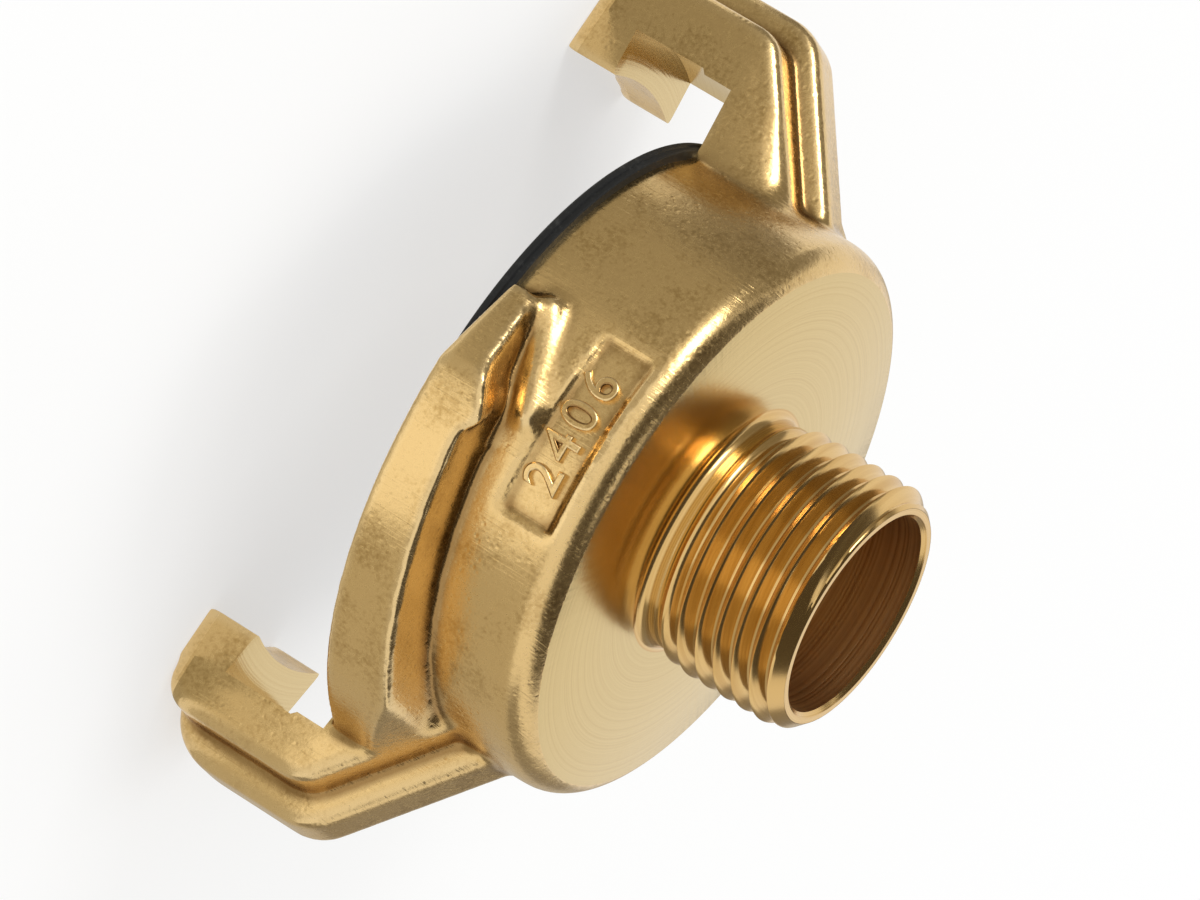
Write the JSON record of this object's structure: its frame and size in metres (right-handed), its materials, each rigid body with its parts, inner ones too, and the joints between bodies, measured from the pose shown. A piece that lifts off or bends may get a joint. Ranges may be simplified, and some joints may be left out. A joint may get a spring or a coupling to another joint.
{
  "type": "hose coupling",
  "caption": "Claw-type quarter turn hose coupling half in brass with hooked claws, cam flanges, a rubber face seal and a male pipe thread nipple.",
  "frame": {"origin": "on the coupling's axis, in the plane of the claw tips", "axes": "+Z along the axis and out of the threaded nipple; +X towards one claw, -X towards the other"},
  "size_m": [0.0578, 0.0462, 0.0334],
  "materials": {
    "brass": "cast and tumbled, with turned faces and thread",
    "seal_rubber": "matt"
  },
  "bodies": {
    "root": {"coupling_body": "brass", "face_seal": "seal_rubber"}
  },
  "joints": []
}
